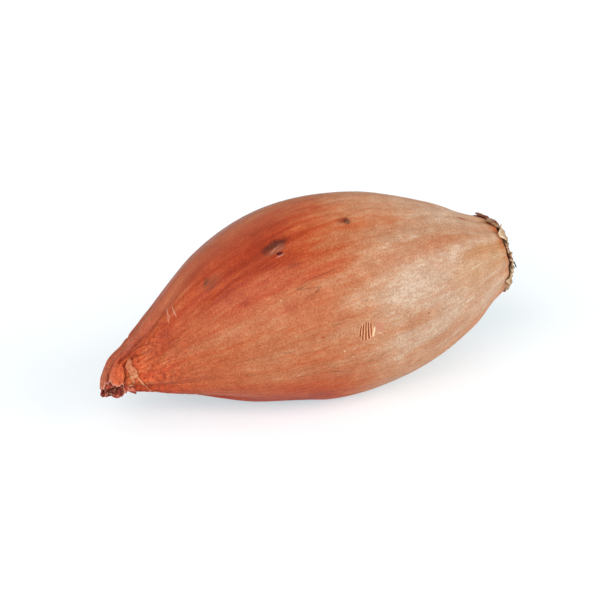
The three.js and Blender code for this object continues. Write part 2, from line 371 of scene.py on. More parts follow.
def fineRelief(share, angle, place, radius, creases):
    # height of the fine relief, and how deep in a fold the skin is, which darkens the skin's colour
    # as painted shade
    height = hollow = 0.0
    for creaseDegrees, width, depth in creases:
        far = turnFrom(creaseDegrees, angle) * radius / width
        if abs(far) < 4:
            valley = math.exp(-far * far)
            lips = 0.45 * math.exp(-(far - 1.7) ** 2) + 0.25 * math.exp(-(far + 2) ** 2)
            height += depth * (lips - valley)
            hollow += valley * depth / 0.4
    if share < 0.3:
        strip, folds, wrinkles = [
            skinRelief[key] for key in ("flatStrip", "smallFolds", "wrinkles")
        ]
        degrees = math.degrees(turnFrom(0, angle))
        flat = fade(strip["fromDegrees"] - 12, strip["fromDegrees"] + 6, degrees)
        flat *= fade(strip["toDegrees"] + 12, strip["toDegrees"] - 6, degrees)
        flat *= fade(strip["end"] + 0.02, strip["end"] - 0.01, share)
        height -= 0.75 * flat * (relief(share, angle) - 0.1)
        turned = angle + folds["bend"] * noise.noise(Vector((share * 9, angle, 3.1)))
        smallFold = abs(math.sin(folds["pairs"] * (turned + folds["twist"] * share)))
        near = fade(0.2, 0.02, share) * (1 - 0.8 * flat)
        height += folds["height"] * (smallFold - 0.6) * near
        hollow += 0.8 * fade(0.35, 0, smallFold) * near
        # pebbled, cross-wrinkled skin under the neck, where it dried last
        amount = fade(0.04, 0.08, share) * fade(0.27, 0.1, share) * fade(-0.2, 0.7, math.sin(angle))
        grain = Vector((
            place.x * wrinkles["along"],
            radius * angle * wrinkles["around"],
            place.z * wrinkles["up"],
        ))
        pebble = noise.noise(grain) + 0.5 * noise.noise(grain * 2.2)
        height += wrinkles["height"] * pebble * amount
        hollow += fade(0.0, -0.7, pebble) * amount
        for fill in skinRelief["fills"]:
            across = turnFrom(fill["degrees"], angle) * radius
            go = (share - fill["share"]) * bulb["length"]
            far = math.hypot(go / fill["along"], across / fill["across"])
            height += fill["height"] * fade(1, 0, far)
    else:
        for name, (middle, along, across, out) in markFrames.items():
            mark = skinRelief[name]
            offset = place - middle
            if offset.length < skinRelief["markReach"]:
                amount = pressedIn(mark, offset, along, across)
                if name == "chip":
                    side = offset.dot(across) / mark["across"]
                    go = offset.dot(along)
                    wave = (go - mark["firstLine"]) / mark["pitch"] / (1 - mark["fan"] * side)
                    ridges = -math.cos(2 * math.pi * wave)
                    ridges *= fade(mark["linesEnd"] + 0.3, mark["linesEnd"], go)
                    height += mark["depth"] * fade(0, 0.5, amount) * (ridges - 0.6)
                else:
                    height -= mark["depth"] * amount
    veins, unevenness = skinRelief["veins"], skinRelief["unevenness"]
    ridge = 1 - 4 * abs(ringNoise(veins, share, alongVeins(share, angle)))
    height += veins["height"] * ridge * fade(0.02, 0.12, share)
    ends = fade(0, 0.1, share) * fade(1, 0.95, share)
    height += unevenness["height"] * ringNoise(unevenness, share, angle) * ends
    return height, min(hollow, 1.0)


def gridFaces(rows, columns, closed=False, start=0):
    faces = []
    for i in range(rows - 1):
        for j in range(columns if closed else columns - 1):
            k = (j + 1) % columns
            row, nextRow = start + i * columns, start + (i + 1) * columns
            faces.append((row + j, row + k, nextRow + k, nextRow + j))
    return faces


def tubeFaces(rows, columns, start=0):
    # a grid closed round, with a cap on each end
    last = start + (rows - 1) * columns
    caps = [tuple(reversed(range(start, start + columns))), tuple(range(last, last + columns))]
    return gridFaces(rows, columns, True, start) + caps


def addSheet(shape, rows, columns, place, thickness):
    # a thin sheet with two faces and a rim, thinner towards its edges
    grid = [[place(j / (columns - 1), i / (rows - 1)) for j in range(columns)] for i in range(rows)]
    start = len(shape["points"])
    for face in (0.5, -0.5):
        for i in range(rows):
            for j in range(columns):
                across = grid[i][min(j + 1, columns - 1)] - grid[i][max(j - 1, 0)]
                down = grid[min(i + 1, rows - 1)][j] - grid[max(i - 1, 0)][j]
                normal = across.cross(down).normalized()
                edge = min(j, columns - 1 - j, rows - 1 - i) / 3
                out = face * thickness * (0.4 + 0.6 * min(edge, 1))
                shape["points"].append(grid[i][j] + normal * out)
    behind = start + rows * columns
    sheet = [tuple(reversed(face)) for face in gridFaces(rows, columns, start=start)]
    sheet += gridFaces(rows, columns, start=behind)
    rim = list(range(columns))
    rim += [i * columns + columns - 1 for i in range(1, rows)]
    rim += [(rows - 1) * columns + j for j in range(columns - 2, -1, -1)]
    rim += [i * columns for i in range(rows - 2, 0, -1)]
    for a, b in zip(rim, rim[1:] + rim[:1]):
        sheet.append((start + a, start + b, behind + b, behind + a))
    shape["faces"] += sheet
    shape["sides"] += [0] * len(sheet)


def addTube(shape, path, radii, sides, side=0):
    start = len(shape["points"])
    for i, point in enumerate(path):
        along = (path[min(i + 1, len(path) - 1)] - path[max(i - 1, 0)]).normalized()
        across = along.orthogonal().normalized()
        other = along.cross(across)
        for j in range(sides):
            angle = 2 * math.pi * j / sides
            way = across * math.cos(angle) + other * math.sin(angle)
            shape["points"].append(point + way * radii[i])
    tube = tubeFaces(len(path), sides, start)
    shape["faces"] += tube
    shape["sides"] += [side] * len(tube)


def newShape():
    return {"points": [], "faces": [], "sides": []}


def addPiece(name, shape, materials, node, attributes=None):
    mesh = bpy.data.meshes.new(name)
    mesh.from_pydata([tuple(p * mm) for p in shape["points"]], [], shape["faces"])
    mesh.polygons.foreach_set("use_smooth", [True] * len(mesh.polygons))
    for label, values in (attributes or {}).items():
        if isinstance(values[0], tuple):
            layer = mesh.attributes.new(label, "FLOAT_VECTOR", "POINT")
            layer.data.foreach_set("vector", [c for value in values for c in value])
        else:
            layer = mesh.attributes.new(label, "FLOAT", "POINT")
            layer.data.foreach_set("value", values)
    for material in materials:
        mesh.materials.append(material)
    if len(materials) > 1:
        mesh.polygons.foreach_set("material_index", shape["sides"])
    mesh.update()
    piece = bpy.data.objects.new(name, mesh)
    bpy.context.scene.collection.objects.link(piece)
    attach(piece, "root")
    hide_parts(node)


# Dry outer skin: a papery shallot tunic, dried on the bulb. Thin and slightly waxy, it has a satin
# gloss, a pale edge at a grazing angle painted as sheen on its top and far side, and lengthwise
# veins that run together at both ends.
drySkin = {
    # how far the skin is from deep red (0) to papery tan (1), from the neck to the root end
    "paleness": [
        (0.0, 0.37), (0.035, 0.38), (0.06, 0.25), (0.1, 0.3), (0.14, 0.35), (0.2, 0.44),
        (0.3, 0.49), (0.44, 0.52), (0.5, 0.59), (0.56, 0.68), (0.62, 0.8), (0.7, 0.88),
        (0.8, 0.88), (0.9, 0.85), (0.955, 0.84), (1.0, 0.78),
    ],
    "colours": [
        (0.0, "#8A2D12"), (0.15, "#963719"), (0.31, "#A04422"), (0.47, "#A75732"),
        (0.63, "#A96B48"), (0.79, "#AE8061"), (0.95, "#B4977F"), (1.0, "#BDA38E"),
    ],
    # broad tones: share, degrees round, half share, half degrees, change of paleness, soft edge
    "tones": [
        ("redShoulder", 0.36, 17, 0.2, 36, -0.27, 0.8),
        ("deepRed", 0.37, 24, 0.1, 14, -0.1, 0.9),
        # a painted pink sheen along the top edge
        ("paintedPinkTopSheen", 0.42, -10, 0.15, 17, 0.2, 0.9),
        ("whiteGlare", 0.67, 68, 0.12, 13, 0.08, 0.9),
        ("brownBand", 0.74, 45, 0.28, 9, -0.14, 0.9),
        ("paleMiddle", 0.53, 70, 0.055, 8, 0.09, 0.9),
        ("paleNeckSide", 0.1, 40, 0.05, 24, 0.16, 0.9),
        ("salmonBand", 0.72, 90, 0.1, 6, -0.1, 0.9),
        ("lowSalmonBand", 0.72, 111, 0.12, 6, -0.1, 0.9),
        ("midSalmonBand", 0.49, 49, 0.09, 6, -0.12, 0.9),
        ("topBrownBand", 0.64, 24, 0.12, 9, -0.12, 0.9),
        ("rootSalmonBand", 0.92, 57, 0.09, 10, -0.12, 0.9),
        ("collarSalmon", 1.012, 30, 0.034, 60, -0.27, 0.7),
        ("paleTopOfRoot", 0.88, 12, 0.14, 24, 0.1, 0.9),
        ("paleLowOfRoot", 0.94, 104, 0.09, 15, 0.1, 0.9),
        ("paleLeftBand", 0.24, 68, 0.13, 6, 0.1, 0.9),
        ("paleLowBand", 0.4, 92, 0.18, 6, 0.08, 0.9),
    ],
    "strawTone": ("strawTone", 0.94, 64, 0.16, 26, 0.42, 0.9),
    "straw": "#A87E50",
    # painted sheen: a pale, greyish pink over the top of the far side
    "paintedFarSideSheen": "#A46A54",
    # painted shade, in deep folds and inside the mouth
    "folds": "#74240F",
    "rim": "#C4826E",
    "chipLines": "#6A2208",
    # streaks that run with the veins: stretch (the less, the longer for its width), scale round
    # the bulb, detail, distortion
    "streaks": {
        "broad": (1.2, 3.0, 3.0, 0.4),
        "medium": (0.8, 10.0, 4.0, 0.5),
        "veins": (0.9, 32.0, 3.0, 0.5),  # about 0.6 mm apart on the belly
        "threads": (0.22, 11.0, 0.0, 0.3),
    },
    # patches: scale per metre and detail
    "patches": {
        "mottle": (380.0, 4.0),  # about 2.5 mm
        "pebbles": (1100.0, 3.0),  # about 0.9 mm
        "grain": (2800.0, 3.0),  # about 0.35 mm, where the skin's cells are nearer 0.1 mm
    },
    # how much each changes the paleness at the neck half and the root half
    "changes": {
        "broad": (0.32, 0.22), "medium": (0.4, 0.26), "mottle": (0.16, 0.13), "grain": (0.4, 0.36),
    },
    # how light the skin is, and what each thing adds to that or takes away; the amounts for the
    # top, its root half, the underside and the neck's lower side are painted light
    "light": {
        "plain": 0.7, "grain": 0.6, "top": 0.16, "paintedTopLightAtRoot": 0.1, "under": 0.1, "paintedNeckSideLight": 0.16,
        "neck": 0.27, "rootEnd": 0.08, "pebbles": 1.3, "mottle": 0.4, "darkVeins": 0.3,
    },
    "bumps": {"grain": (0.6, 0.12), "veins": (0.3, 0.2), "pebbles": (0.7, 0.9)},  # strength, mm
    "markWobble": 0.9,
    "roughness": 0.42,
    "ior": 1.45,
    "gloss": 0.22,
    "rubbedGloss": 0.05,  # underneath
}

# Marks on that skin: share, degrees round, half sizes along and across in mm, turn in degrees,
# colour, strength, and how much of the size is the soft edge.
skinMarks = [
    ("smudgeHalo", 0.286, 25, 3.8, 1.8, 6, "#6B3E2B", 0.5, 0.9),
    ("smudge", 0.276, 22, 1.4, 0.8, 30, "#4A3426", 0.6, 0.9),
    ("scarHalo", 0.418, 25, 5.2, 2.6, 10, "#7C2A18", 0.6, 0.9),
    ("scar", 0.4205, 25.5, 4.0, 1.75, 6, "#4C1E10", 0.95, 0.7),
    ("scarInside", 0.42, 28.0, 3.0, 1.2, 6, "#965038", 0.85, 0.7),
    ("scarFlake", 0.414, 27.8, 1.1, 0.22, 20, "#B4806A", 0.55, 0.7),
    ("scarFlakeTwo", 0.421, 26.8, 1.3, 0.2, 14, "#A9745C", 0.55, 0.7),
    ("scarFlakeThree", 0.4265, 28.6, 1.1, 0.2, 8, "#A9745C", 0.5, 0.7),
    # the scar's pale lip, with a painted highlight along it
    ("paleScarLipAndHighlight", 0.4235, 32.8, 1.3, 0.3, 4, "#BC7E6A", 0.75, 0.6),
    ("scarPore", 0.4235, 31.0, 0.85, 0.55, -10, "#520F09", 1.0, 0.5),
    ("pitTail", 0.556, 21.5, 2.0, 1.1, 0, "#7E2A15", 0.8, 0.9),
    ("pit", 0.566, 22, 1.1, 1.25, -20, "#562312", 0.95, 0.7),
    ("pitInside", 0.567, 22.8, 0.5, 0.5, -20, "#756244", 0.85, 0.7),
    ("scratchOne", 0.184, 17, 0.2, 2.0, -14, "#C4917C", 0.8, 0.7),
    ("scratchTwo", 0.196, 22, 0.18, 2.2, -10, "#C4917C", 0.8, 0.7),
    ("scratchThree", 0.178, 24, 0.16, 1.3, -26, "#C4917C", 0.7, 0.7),
    ("chipPatch", 0.5905, 87, 1.3, 1.6, 0, "#B67762", 0.6, 0.6),
    ("chipPatchEdge", 0.5925, 90.5, 1.0, 0.25, -30, "#C99A80", 0.7, 0.6),
    ("chipBed", 0.5575, 88, 1.9, 2.3, 0, "#CE9068", 0.95, 0.3),
    ("chipEdge", 0.5765, 89, 0.28, 1.6, -10, "#D9BC96", 1.0, 0.5),
    ("darkVeinFour", 0.31, 34.0, 6.0, 0.3, 8, "#7A2A16", 0.6, 0.8),
    ("redDot", 0.455, 87, 0.65, 0.3, 4, "#96300F", 0.85, 0.6),
    ("brownDot", 0.728, 87, 0.35, 0.25, 0, "#683416", 0.9, 0.5),
    ("smallDot", 0.79, 37, 0.24, 0.2, 0, "#5D341F", 0.8, 0.5),
    ("fleckOne", 0.388, 110, 0.3, 0.22, 0, "#D0A98E", 0.8, 0.6),
    ("fleckTwo", 0.393, 58, 0.3, 0.22, 0, "#D0A98E", 0.6, 0.6),
    ("fleckThree", 0.503, 98, 0.32, 0.25, 0, "#D0A98E", 0.8, 0.6),
    ("fleckFour", 0.525, 102, 0.28, 0.22, 0, "#D0A98E", 0.7, 0.6),
    ("darkVeinOne", 0.482, 51.2, 6.0, 0.18, 8, "#5E2A1A", 0.6, 0.7),
    ("darkVeinThree", 0.443, 55.0, 2.6, 0.15, 10, "#6A2A16", 0.6, 0.6),
    ("darkVeinTwo", 0.438, 41.5, 2.6, 0.5, 3, "#752B16", 0.55, 0.8),
    ("nickLine", 0.92, 13, 1.9, 0.6, -6, "#A05A34", 1.0, 0.5),
    ("nickShade", 0.917, 12.4, 1.0, 0.3, -6, "#84401E", 0.8, 0.6),
]


def drySkinMaterial():
    material, tree = newMaterial("dryOuterSkin")
    place = addNode(tree, "Attribute", attribute_name="place", output="Vector")
    hollow = addNode(tree, "Attribute", attribute_name="hollow", output="Fac")
    share, aside, up = [addNode(tree, "SeparateXYZ", place, output=axis) for axis in "XYZ"]
    spot = addNode(tree, "TexCoord", output="Object")
    smooth = {"interpolation_type": "SMOOTHSTEP"}
    light = drySkin["light"]

    layers = {}
    for name, (stretch, scale, detail, distortion) in drySkin["streaks"].items():
        at = addNode(tree, "VectorMath", place, (stretch, 1, 1), operation="MULTIPLY")
        layers[name] = addNode(tree, "TexNoise", {
            "Vector": at, "Scale": scale, "Detail": detail, "Distortion": distortion,
        }, output="Fac")
    for name, (scale, detail) in drySkin["patches"].items():
        layers[name] = addNode(tree, "TexNoise", {
            "Vector": spot, "Scale": scale, "Detail": detail,
        }, output="Fac")

    rootHalf = addNode(tree, "MapRange", share, 0.48, 0.68, **smooth)
    neckEnd = addNode(tree, "MapRange", share, 0.24, 0.08, **smooth)
    under = addNode(tree, "MapRange", up, -0.25, -0.85, **smooth)
    pebbles = addNode(tree, "Math", layers["pebbles"], 0.5, operation="SUBTRACT")
    layers["pebbles"] = addNode(tree, "Math", pebbles, neckEnd, operation="MULTIPLY")

    def changed(value, changes):
        # adds to a value each thing times its amount
        for thing, amount in changes:
            value = addNode(tree, "Math", thing, amount, value, operation="MULTIPLY_ADD")
        return value

    def inTone(name, toneShare, degrees, halfShare, halfDegrees, amount, soft):
        turned, half = alongVeins(toneShare, math.radians(degrees)), math.radians(halfDegrees)
        at = addNode(tree, "Mapping", {
            "Vector": place,
            "Location": (toneShare, math.sin(turned), math.cos(turned)),
            "Scale": (halfShare, half, half),
        }, vector_type="TEXTURE", label=name)
        far = addNode(tree, "VectorMath", at, operation="LENGTH", output="Value")
        ragged = addNode(tree, "Math", layers["medium"], 1.2, -0.6, operation="MULTIPLY_ADD")
        far = addNode(tree, "Math", far, ragged, operation="ADD")
        return addNode(tree, "MapRange", far, 1.1, 1.1 - soft, 0, amount, **smooth)

    # how pale the skin is: along the bulb, on its top, underneath, where a darker, redder underside
    # is painted shade, and in streaks and patches
    paleness = addNode(tree, "FloatCurve", {"Value": share})
    points = paleness.node.mapping.curves[0].points
    points[0].location = drySkin["paleness"][0]
    points[1].location = drySkin["paleness"][-1]
    for at in drySkin["paleness"][1:-1]:
        points.new(*at)
    paleness.node.mapping.update()
    changes = [
        (addNode(tree, "MapRange", up, 0.5, 0.8, 0, -0.08, **smooth), 1.0),
        # the underside darker and redder: painted shade
        (under, addNode(tree, "MapRange", share, 0.45, 0.65, -0.36, -0.1, **smooth)),
    ]
    for name, (neckAmount, rootAmount) in drySkin["changes"].items():
        lean = addNode(tree, "Math", layers[name], 0.5, operation="SUBTRACT")
        amount = addNode(tree, "MapRange", rootHalf, 0, 1, neckAmount, rootAmount, **smooth)
        changes.append((lean, amount))
    # the veins come and go over the belly and are strong at the neck
    lean = addNode(tree, "Math", layers["veins"], 0.5, operation="SUBTRACT")
    patchy = addNode(tree, "MapRange", layers["mottle"], 0.35, 0.65, 0.1, 0.5, **smooth)
    changes.append((lean, changed(patchy, [(neckEnd, 0.5)])))
    changes += [(inTone(*tone), 1.0) for tone in drySkin["tones"]]
    colour = addNode(tree, "ValToRGB", changed(paleness, changes), stops=drySkin["colours"])
    straw = inTone(*drySkin["strawTone"])
    colour = addNode(tree, "Mix", {0: straw, 6: colour, 7: drySkin["straw"]},
                     data_type="RGBA", output=2)

    # lighter and darker cells, thin dark veins that come and go, and painted light: a lighter top,
    # underside and lower side of the neck
    paintedTopLight = addNode(tree, "Math", rootHalf, light["paintedTopLightAtRoot"], light["top"],
                       operation="MULTIPLY_ADD")
    shade = changed(light["plain"], [
        (layers["grain"], light["grain"]),
        (addNode(tree, "MapRange", up, 0.75, 1.0, **smooth), paintedTopLight),
        (under, light["under"]),
        (neckEnd, addNode(tree, "MapRange", up, 0.85, 0.3, 0, light["paintedNeckSideLight"], **smooth)),
        (addNode(tree, "MapRange", share, 0.17, 0.06, **smooth), light["neck"]),
        (addNode(tree, "MapRange", share, 0.8, 0.92, **smooth), light["rootEnd"]),
        (layers["pebbles"], light["pebbles"]),
    ])
    patchy = changed(1 - light["mottle"] / 2, [(layers["mottle"], light["mottle"])])
    shade = addNode(tree, "Math", shade, patchy, operation="MULTIPLY")
    away = addNode(tree, "Math", layers["threads"], 0.5, operation="SUBTRACT")
    away = addNode(tree, "Math", away, operation="ABSOLUTE")
    thin = addNode(tree, "MapRange", away, 0.014, 0.0, **smooth)
    seen = addNode(tree, "MapRange", layers["broad"], 0.46, 0.6, 0, -light["darkVeins"], **smooth)
    shade = changed(shade, [(thin, seen)])
    tone = addNode(tree, "CombineXYZ", shade, shade, shade)
    colour = addNode(tree, "Mix", {0: 1.0, 6: colour, 7: tone},
                     data_type="RGBA", blend_type="MULTIPLY", output=2)

    # what lies over that: painted sheen on the far side, painted shade in deep folds and inside the
    # mouth, the mouth's dry rim, then the marks
    away = addNode(tree, "MapRange", aside, 0.4, -0.35, **smooth)
    neckHalf = addNode(tree, "MapRange", share, 0.7, 0.4, 0, 0.45, **smooth)
    covers = [
        (addNode(tree, "Math", away, neckHalf, operation="MULTIPLY"), drySkin["paintedFarSideSheen"]),
        (addNode(tree, "Math", hollow, 0.6, operation="MULTIPLY"), drySkin["folds"]),
        (addNode(tree, "MapRange", share, 0.005, 0.001, 0, 0.85, **smooth), drySkin["rim"]),
    ]

    def onMark(share, degrees, halfAlong, halfAcross, turn):
        middle, alongSkin, across, out = skinFrame(share, degrees)
        axes = Matrix((alongSkin, across, out)).transposed()
        axes = axes @ Matrix.Rotation(math.radians(turn), 3, "Z")
        return addNode(tree, "Mapping", {
            "Vector": spot,
            "Location": middle * mm,
            "Rotation": axes.to_euler(),
            "Scale": (halfAlong * mm, halfAcross * mm, skinRelief["markReach"] * mm),
        }, vector_type="TEXTURE")

    uneven = addNode(tree, "MapRange", layers["grain"], 0.25, 0.5, 0.55, 1.0, **smooth)
    wobble = addNode(tree, "TexNoise", {
        "Vector": spot, "Scale": drySkin["patches"]["pebbles"][0], "Detail": 4.0,
    }, output="Color")
    size = drySkin["markWobble"]
    wobble = addNode(tree, "VectorMath", wobble, (size,) * 3, (-size / 2,) * 3,
                     operation="MULTIPLY_ADD")
    for name, markShare, degrees, along, across, turn, markColour, strength, soft in skinMarks:
        at = onMark(markShare, degrees, along, across, turn)
        at = addNode(tree, "VectorMath", at, wobble, operation="ADD")
        far = addNode(tree, "VectorMath", at, operation="LENGTH", output="Value")
        mask = addNode(tree, "MapRange", far, 1.0, 1.0 - soft, 0, strength, **smooth)
        mask = addNode(tree, "Math", mask, uneven, operation="MULTIPLY", label=name)
        covers.append((mask, markColour))

    # rust lines of the chip, in the grooves between its ridges
    chip = skinRelief["chip"]
    at = onMark(chip["share"], chip["degrees"], chip["along"], chip["across"], 0)
    go = addNode(tree, "SeparateXYZ", at, output="X")
    side = addNode(tree, "SeparateXYZ", at, output="Y")
    inside = addNode(tree, "VectorMath", at, operation="LENGTH", output="Value")
    pitch, first, end = [chip[key] / chip["along"] for key in ("pitch", "firstLine", "linesEnd")]
    turns = addNode(tree, "Math", go, first, operation="SUBTRACT")
    turns = addNode(tree, "Math", turns, changed(pitch, [(side, -chip["fan"] * pitch)]),
                    operation="DIVIDE")
    wave = addNode(tree, "Math", turns, 2 * math.pi, operation="MULTIPLY")
    wave = addNode(tree, "Math", wave, operation="COSINE")
    lines = addNode(tree, "MapRange", wave, -0.2, 0.6, **smooth)
    for value, low, high in ((inside, 1.02, 0.85), (go, end, end - 0.1)):
        limit = addNode(tree, "MapRange", value, low, high, **smooth)
        lines = addNode(tree, "Math", lines, limit, operation="MULTIPLY")
    covers.append((lines, drySkin["chipLines"]))
    for mask, cover in covers:
        colour = addNode(tree, "Mix", {0: mask, 6: colour, 7: cover}, data_type="RGBA", output=2)

    normal = {}
    for name, (strength, rise) in drySkin["bumps"].items():
        normal = {"Normal": addNode(tree, "Bump", {
            "Strength": strength, "Distance": rise * mm, "Height": layers[name], **normal,
        })}
    roughness = drySkin["roughness"]
    gloss = (drySkin["gloss"], drySkin["rubbedGloss"])
    shader = addNode(tree, "BsdfPrincipled", {
        "Base Color": colour,
        "Roughness": addNode(tree, "MapRange", layers["medium"], 0.2, 0.8,
                             roughness - 0.06, roughness + 0.1, **smooth),
        "IOR": drySkin["ior"],
        "Specular IOR Level": addNode(tree, "MapRange", under, 0, 1, *gloss, **smooth),
        **normal,
    })
    addNode(tree, "OutputMaterial", shader)
    return material


def ringShares():
    # closer rings where the skin has small features
    shares, share = [], 0.0
    while share < 1:
        shares.append(share)
        step = 0.17 + 0.36 * fade(0.1, 0.2, share)
        for name in markFrames:
            mark = skinRelief[name]
            away = abs(share - mark["share"]) - mark["along"] / bulb["length"] - 0.012
            step = min(step, 0.17 + 40 * max(away, 0))
        share += step / bulb["length"]
    return shares + [1.0]


def makeBulb():
    shape = newShape()
    places, hollows = [], []
    depth, broken, columns = bulb["mouthDepth"], bulb["brokenSide"], bulb["sides"]
    # each row's share of the length, and how far out from the centre line it reaches
    wall = 0.74
    rows = [(depth, 0.02), (depth, 0.5), (depth, wall)]
    rows += [(depth * (1 - i / 6), wall + 0.12 * (i / 6)) for i in range(1, 6)]
    rows += [(0.0006, 0.88), (0.0, 0.94)]
    mouthRows = len(rows)
    rows += [(share, 1.0) for share in ringShares()]
    basin, basinRim = 1 - bulb["basinDepth"] / bulb["length"], bulb["basinRim"]
    rows += [(1.0, 0.97), (1.0, basinRim), (basin, basinRim - 0.04), (basin, 0.02)]
    for index, (share, reach) in enumerate(rows):
        inTear = share < bulb["tearEnd"] - 0.001
        for side in range(columns):
            angle = 2 * math.pi * side / columns
            torn = share
            if inTear:
                ragged = around(bulb["mouthTears"], angle)
                ragged += 0.003 * noise.noise(Vector((5 * angle, 0.5, 0)))
                away = abs(math.degrees(turnFrom(broken["degrees"], angle)))
                ragged += broken["share"] * fade(broken["half"], 0, away)
                torn = max(share + ragged * fade(bulb["tearEnd"], 0, share), 0)
            if side == 0 or inTear:
                cut = section(torn)
                creases = creasesAt(torn)
            base = relief(torn, angle)
            place = outFrom(cut, angle, base)
            fine, hollow = fineRelief(torn, angle, place, cut[4], creases)
            if reach < 1 and share > 0.5:
                fine = 0
            point = cut[0].lerp(outFrom(cut, angle, base + fine), reach)
            point.z = max(point.z, 0)
            shape["points"].append(point)
            turned = alongVeins(share, angle)
            places.append((share, math.sin(turned), math.cos(turned)))
            # inside the mouth the skin takes the full painted shade of the folds
            hollows.append(1.0 if index < mouthRows and reach < 0.9 else hollow)
    shape["faces"] = tubeFaces(len(rows), columns)
    print("bulb rows", len(rows), "triangles", 2 * len(shape["faces"]))
    addPiece("bulbSkin", shape, [drySkinMaterial()], "bulb",
             {"place": places, "hollow": hollows})


makeBulb()
print("bulb made")


# Dried leaf ends in the mouth of the neck: brittle and crumbled, dull, from near black inside to
# red-brown and tan where they broke.
leafEnds = {
    "leaves": [
        # degrees round, span, radius, reach beyond the mouth, lean outwards (mm)
        {"degrees": 20, "span": 110, "radius": 1.8, "reach": -1.0, "lean": 0.0},
        {"degrees": 95, "span": 90, "radius": 1.9, "reach": -0.2, "lean": 0.3},
        {"degrees": 165, "span": 90, "radius": 2.0, "reach": 0.9, "lean": 0.5},
        {"degrees": 265, "span": 90, "radius": 2.1, "reach": 1.5, "lean": 0.2},
        {"degrees": 335, "span": 80, "radius": 1.9, "reach": 0.2, "lean": 0.3},
        {"degrees": 140, "span": 140, "radius": 1.3, "reach": 0.6, "lean": 0.3},
        {"degrees": 250, "span": 120, "radius": 1.3, "reach": 1.0, "lean": 0.2},
        {"degrees": 92, "span": 22, "radius": 1.9, "reach": -0.1, "lean": 2.9},
        {"degrees": 40, "span": 150, "radius": 0.9, "reach": -0.6, "lean": 0.1},
    ],
    "depth": 2.6,
    "thickness": 0.2,
    "crumbs": 46,
    "crumbSize": 0.36,
    "leafColours": [(0.3, "#4A140C"), (0.44, "#862A18"), (0.54, "#A0402A"), (0.68, "#BC7460")],
    "crumbColours": [(0.34, "#34110B"), (0.44, "#7A3020"), (0.54, "#946048"), (0.68, "#AE9484")],
    "patchScale": 1300.0,  # patches about 0.8 mm
    "bump": (0.6, 0.2),  # strength, mm
    "roughness": 0.75,
    "ior": 1.45,
    "gloss": 0.5,
}


def leafEndMaterial(name, stops):
    material, tree = newMaterial(name)
    spot = addNode(tree, "TexCoord", output="Object")
    patches = addNode(tree, "TexNoise", {
        "Vector": spot, "Scale": leafEnds["patchScale"], "Detail": 3.0,
    }, output="Fac")
    dullSurface(tree, addNode(tree, "ValToRGB", patches, stops=stops), patches, leafEnds)
    return material


def addCrumb(shape, middle, size, seed, side=0):
    rings, sides = 5, 7
    start = len(shape["points"])
    for i in range(rings):
        for j in range(sides):
            up = math.pi * (i + 0.5) / rings
            turn = 2 * math.pi * j / sides
            wide = math.sin(up)
            way = Vector((wide * math.cos(turn), wide * math.sin(turn), math.cos(up)))
            bulge = 0.75 + 0.6 * noise.noise(way * 1.7 + Vector((seed * 3.7, 0, 0)))
            shape["points"].append(middle + way * size * bulge)
    lump = [tuple(reversed(face)) for face in tubeFaces(rings, sides, start)]
    shape["faces"] += lump
    shape["sides"] += [side] * len(lump)


def makeLeafEnds():
    shape = newShape()
    for number, leaf in enumerate(leafEnds["leaves"]):

        def place(u, v):
            angle = math.radians(leaf["degrees"] + (u - 0.5) * leaf["span"])
            torn = 0.9 + 0.16 * noise.noise(Vector((3 * u, number * 3.3, 0)))
            torn -= 0.3 * (2 * u - 1) ** 4
            crumple = 0.22 * noise.noise(Vector((5 * u, 3 * v, number * 5.1)))
            radius = leaf["radius"] + crumple + leaf["lean"] * v ** 4
            beyond = -leafEnds["depth"] + (leafEnds["depth"] + leaf["reach"]) * v * torn
            return atEnd(neckCut, -beyond, radius, angle)

        addSheet(shape, 14, 30, place, leafEnds["thickness"])
    for i in range(leafEnds["crumbs"]):
        turn = math.radians(137.5 * i)
        radius = 2.0 * math.sqrt((i + 0.5) / leafEnds["crumbs"])
        inside = 0.5 + 0.7 * math.cos(2.3 * i) + 1.3 * fade(-1, 1, math.cos(turn - 0.9))
        size = leafEnds["crumbSize"] * (0.75 + 0.4 * math.sin(1.7 * i))
        addCrumb(shape, atEnd(neckCut, inside, radius, turn), size, i, 1)
    materials = [
        leafEndMaterial("driedLeafEnds", leafEnds["leafColours"]),
        leafEndMaterial("crumbledLeafBits", leafEnds["crumbColours"]),
    ]
    addPiece("driedLeafEnds", shape, materials, "neck_tuft")


makeLeafEnds()
print("leaf ends made")

# Torn strip of the outermost skin on the side of the neck: a paper-thin film, cream where the
# layers parted, so it is matt and lighter than the skin around it.
tornStrip = {
    "bands": [
        # share, degrees round, half width (mm), lift off the skin (mm), paleness
        [(0.067, 32, 0.2, 0.06, -0.2), (0.06, 42, 0.55, 0.06, -0.14), (0.056, 55, 0.75, 0.08, -0.1),
         (0.056, 70, 0.95, 0.13, -0.03), (0.057, 83, 1.0, 0.2, 0.1), (0.057, 92, 0.7, 0.26, 0.12)],
        [(0.052, 84, 0.6, 0.28, 0.1), (0.044, 98, 0.36, 0.28, 0.08), (0.034, 112, 0.24, 0.28, 0.0),
         (0.018, 99, 0.18, 0.22, 0.0)],
        [(0.061, 82, 0.4, 0.28, 0.1), (0.068, 94, 0.24, 0.28, 0.04), (0.077, 112, 0.17, 0.24, 0.0),
         (0.09, 134, 0.14, 0.18, 0.0), (0.11, 140, 0.1, 0.1, -0.05)],
    ],
    "thickness": 0.14,
    "colours": [(0.36, "#A5522C"), (0.74, "#C88A60")],  # stain, cream
    "fibreScale": 1300.0,  # fibres about 0.8 mm
    "bump": (0.4, 0.1),  # strength, mm
    "roughness": 0.6,
    "ior": 1.45,
    "gloss": 0.5,
}


